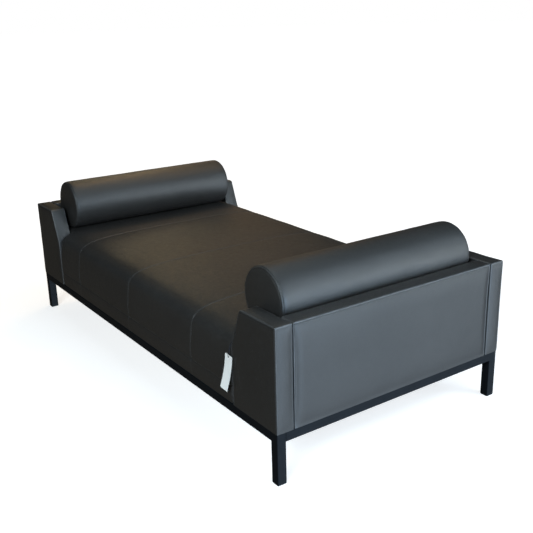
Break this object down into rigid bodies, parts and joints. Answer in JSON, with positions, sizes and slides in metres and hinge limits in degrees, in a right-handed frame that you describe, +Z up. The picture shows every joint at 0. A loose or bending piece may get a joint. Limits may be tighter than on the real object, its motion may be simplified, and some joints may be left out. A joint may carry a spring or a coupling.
{
  "type": "sleigh bed",
  "caption": "Low leather daybed: square-tube steel base, padded seat, upright U-shaped padded ends of panel and two arms, and a loose round bolster at each end.",
  "frame": {"origin": "on the floor, under the centre of the bed", "axes": "+X along the bed from the head end to the foot end, +Y across it to the left of a person lying on their back with their head at the head end, +Z up"},
  "size_m": [2.05, 1.0589, 0.674],
  "materials": {
    "leather": "satin",
    "base_paint": "satin",
    "glide_nylon": "matte",
    "pine": "matte",
    "plywood": "matte",
    "webbing": "matte",
    "dust_cloth": "matte",
    "foam": "matte",
    "zinc_steel": "satin",
    "tag_card": "satin",
    "tag_string": "matte"
  },
  "bodies": {
    "root": {"leg_head_right": "base_paint", "leg_head_left": "base_paint", "leg_foot_right": "base_paint", "leg_foot_left": "base_paint", "long_rail_right": "base_paint", "long_rail_left": "base_paint", "end_rail_head": "base_paint", "end_rail_foot": "base_paint", "cross_bearer_head": "base_paint", "cross_bearer_middle": "base_paint", "cross_bearer_foot": "base_paint", "leg_glides": "glide_nylon", "seat_side_rail_right": "pine", "seat_side_rail_left": "pine", "seat_inner_rail_right": "pine", "seat_inner_rail_left": "pine", "seat_end_rail_head": "pine", "seat_end_rail_foot": "pine", "seat_cross_rail_head": "pine", "seat_cross_rail_middle": "pine", "seat_cross_rail_foot": "pine", "seat_corner_blocks": "pine", "webbing_cross": "webbing", "webbing_long": "webbing", "dust_cover": "dust_cloth", "seat_foam": "foam", "panel_foam_head": "foam", "panel_foam_foot": "foam", "arm_foam_head_right": "foam", "arm_foam_head_left": "foam", "arm_foam_foot_right": "foam", "arm_foam_foot_left": "foam", "panel_core_head": "plywood", "panel_core_foot": "plywood", "arm_core_head_right": "plywood", "arm_core_head_left": "plywood", "arm_core_foot_right": "plywood", "arm_core_foot_left": "plywood", "seat_cover": "leather", "panel_cover_head": "leather", "panel_cover_foot": "leather", "arm_cover_head_right": "leather", "arm_cover_head_left": "leather", "arm_cover_foot_right": "leather", "arm_cover_foot_left": "leather", "frame_bolts": "zinc_steel", "unit_bolts": "zinc_steel", "insert_nuts": "zinc_steel"},
    "head_bolster": {"bolster_foam_head": "foam", "bolster_sleeve_head": "leather", "bolster_cap_head_right": "leather", "bolster_cap_head_left": "leather"},
    "foot_bolster": {"bolster_foam_foot": "foam", "bolster_sleeve_foot": "leather", "bolster_cap_foot_right": "leather", "bolster_cap_foot_left": "leather"},
    "swing_tag": {"swing_tag_card": "tag_card", "swing_tag_string": "tag_string"}
  },
  "joints": [
    {"name": "head_bolster_lift", "type": "slide", "parent": "root", "child": "head_bolster", "axis": [0, 0, 1], "range_m": [0, 0.3]},
    {"name": "foot_bolster_lift", "type": "slide", "parent": "root", "child": "foot_bolster", "axis": [0, 0, 1], "range_m": [0, 0.3]},
    {"name": "swing_tag_swing", "type": "hinge", "parent": "root", "child": "swing_tag", "pos_m": [0.776, -0.512, 0.419], "axis": [-1, 0, 0], "range_deg": [0, 75]}
  ]
}
